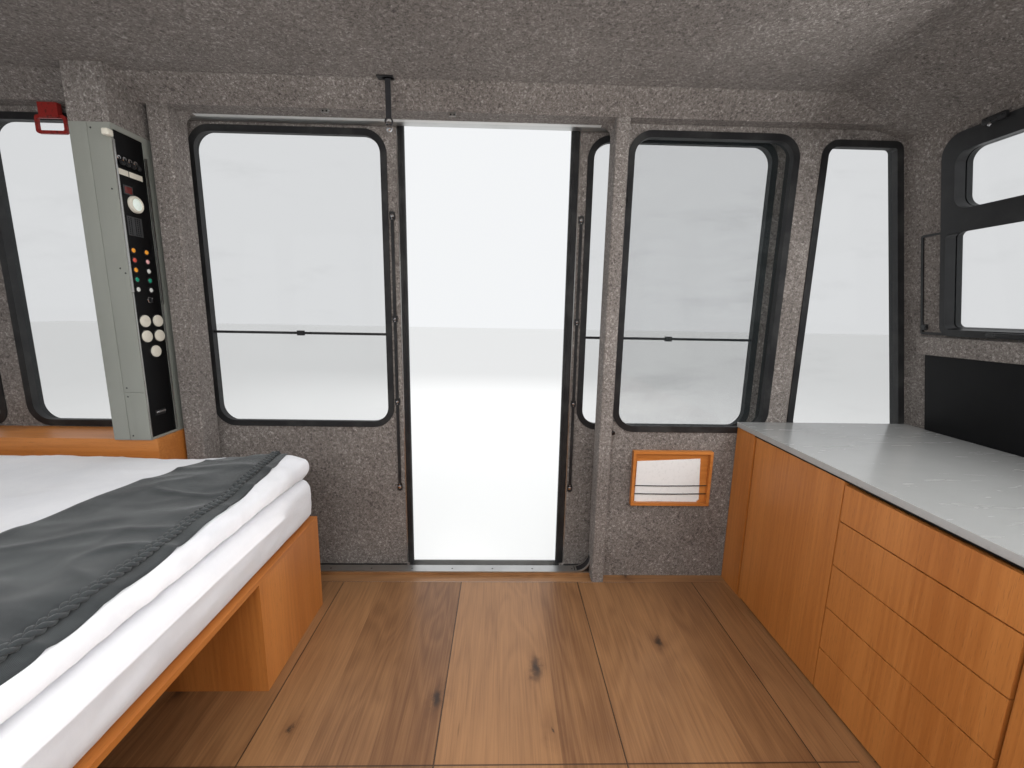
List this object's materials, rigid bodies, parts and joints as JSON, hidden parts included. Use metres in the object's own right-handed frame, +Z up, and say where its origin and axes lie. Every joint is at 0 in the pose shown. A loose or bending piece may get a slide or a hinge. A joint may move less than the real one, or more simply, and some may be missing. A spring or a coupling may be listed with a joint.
{
  "type": "cable car cabin",
  "caption": "Large aerial tramway cabin with sliding doors, fitted out as a small felt-lined room with a bed, a counter and an operator's console.",
  "frame": {"origin": "centre of the suspension bore in the two lugs on the roof", "axes": "+X along the rope, +Y towards the side whose door stands open, +Z up"},
  "size_m": [5.5188, 2.85, 3.01],
  "materials": {
    "white_paint": "satin body paint",
    "dark_metal": "dark grey paint",
    "galvanised": "weathered zinc",
    "aluminium": "brushed",
    "console_metal": "pale grey-green paint",
    "felt": "heathered felt",
    "rubber": "matt",
    "glass": "clear",
    "oak": "oiled rustic oak",
    "veneer": "satin orange-brown veneer",
    "worktop_grey": "dark laminate with a slight sheen",
    "black_panel": "matt black",
    "controls": "pale buttons",
    "red_paint": "red",
    "card": "blank card",
    "linen": "white bedding",
    "throw_knit": "charcoal weave",
    "webbing": "black webbing"
  },
  "bodies": {
    "cabin": {"wall_front": "white_paint", "wall_back": "white_paint", "wall_left": "white_paint", "wall_right": "white_paint", "roof_shell": "white_paint", "ceiling_lining": "felt", "floor_deck": "aluminium", "floor_boards": "oak", "border_boards": "oak", "door_posts": "felt", "side_window_glass": "glass", "side_window_seals": "rubber", "end_window_frames": "rubber", "end_window_glass": "glass", "door_tracks": "aluminium", "door_sills": "aluminium", "console_housing": "console_metal", "console_panel": "black_panel", "console_controls": "controls", "window_locker": "veneer", "grab_loop": "red_paint", "ceiling_strap": "webbing", "wall_hooks": "dark_metal", "niche_frame": "veneer", "niche_card": "card", "bed_boxes": "veneer", "bed_platform": "veneer", "mattress": "linen", "duvet": "linen", "throw": "throw_knit", "counter_carcass": "veneer", "worktop": "worktop_grey", "splashback": "black_panel", "suspension_frame": "galvanised", "long_beams": "galvanised", "cross_beams": "galvanised", "side_guides": "galvanised", "end_buffers": "rubber"},
    "leaf_front_right": {"leaf_front_right_panel": "white_paint", "leaf_front_right_glass": "glass", "leaf_front_right_fittings": "rubber"},
    "leaf_front_left": {"leaf_front_left_panel": "white_paint", "leaf_front_left_glass": "glass", "leaf_front_left_fittings": "rubber"},
    "leaf_back_right": {"leaf_back_right_panel": "white_paint", "leaf_back_right_glass": "glass", "leaf_back_right_fittings": "rubber"},
    "leaf_back_left": {"leaf_back_left_panel": "white_paint", "leaf_back_left_glass": "glass", "leaf_back_left_fittings": "rubber"},
    "counter_door_far": {"counter_door_far": "veneer"},
    "counter_door_middle": {"counter_door_middle": "veneer"},
    "counter_door_near": {"counter_door_near": "veneer"},
    "drawer_1": {"drawer_1": "veneer"},
    "drawer_2": {"drawer_2": "veneer"},
    "drawer_3": {"drawer_3": "veneer"},
    "drawer_4": {"drawer_4": "veneer"},
    "drawer_5": {"drawer_5": "veneer"},
    "roof_hatch": {"roof_hatch": "white_paint"}
  },
  "joints": [
    {"name": "front_right_slide", "type": "slide", "parent": "cabin", "child": "leaf_front_right", "axis": [1, 0, 0], "range_m": [-0.779, 0.167]},
    {"name": "front_left_slide", "type": "slide", "parent": "cabin", "child": "leaf_front_left", "axis": [-1, 0, 0], "range_m": [0, 0.946]},
    {"name": "back_right_slide", "type": "slide", "parent": "cabin", "child": "leaf_back_right", "axis": [1, 0, 0], "range_m": [0, 0.946]},
    {"name": "back_left_slide", "type": "slide", "parent": "cabin", "child": "leaf_back_left", "axis": [-1, 0, 0], "range_m": [0, 0.946]},
    {"name": "hatch_hinge", "type": "hinge", "parent": "cabin", "child": "roof_hatch", "pos_m": [1.78, 0, -0.288], "axis": [0, 1, 0], "range_deg": [0, 100]},
    {"name": "counter_door_far_hinge", "type": "hinge", "parent": "cabin", "child": "counter_door_far", "pos_m": [1.6665, 1.0155, -2.32], "axis": [0, 0, -1], "range_deg": [0, 90]},
    {"name": "counter_door_middle_hinge", "type": "hinge", "parent": "cabin", "child": "counter_door_middle", "pos_m": [1.6665, -0.0395, -2.32], "axis": [0, 0, -1], "range_deg": [0, 90]},
    {"name": "counter_door_near_hinge", "type": "hinge", "parent": "cabin", "child": "counter_door_near", "pos_m": [1.6665, -1.0425, -2.32], "axis": [0, 0, 1], "range_deg": [0, 90]},
    {"name": "drawer_1_slide", "type": "slide", "parent": "cabin", "child": "drawer_1", "axis": [-1, 0, 0], "range_m": [0, 0.5]},
    {"name": "drawer_2_slide", "type": "slide", "parent": "cabin", "child": "drawer_2", "axis": [-1, 0, 0], "range_m": [0, 0.5]},
    {"name": "drawer_3_slide", "type": "slide", "parent": "cabin", "child": "drawer_3", "axis": [-1, 0, 0], "range_m": [0, 0.5]},
    {"name": "drawer_4_slide", "type": "slide", "parent": "cabin", "child": "drawer_4", "axis": [-1, 0, 0], "range_m": [0, 0.5]},
    {"name": "drawer_5_slide", "type": "slide", "parent": "cabin", "child": "drawer_5", "axis": [-1, 0, 0], "range_m": [0, 0.5]}
  ]
}
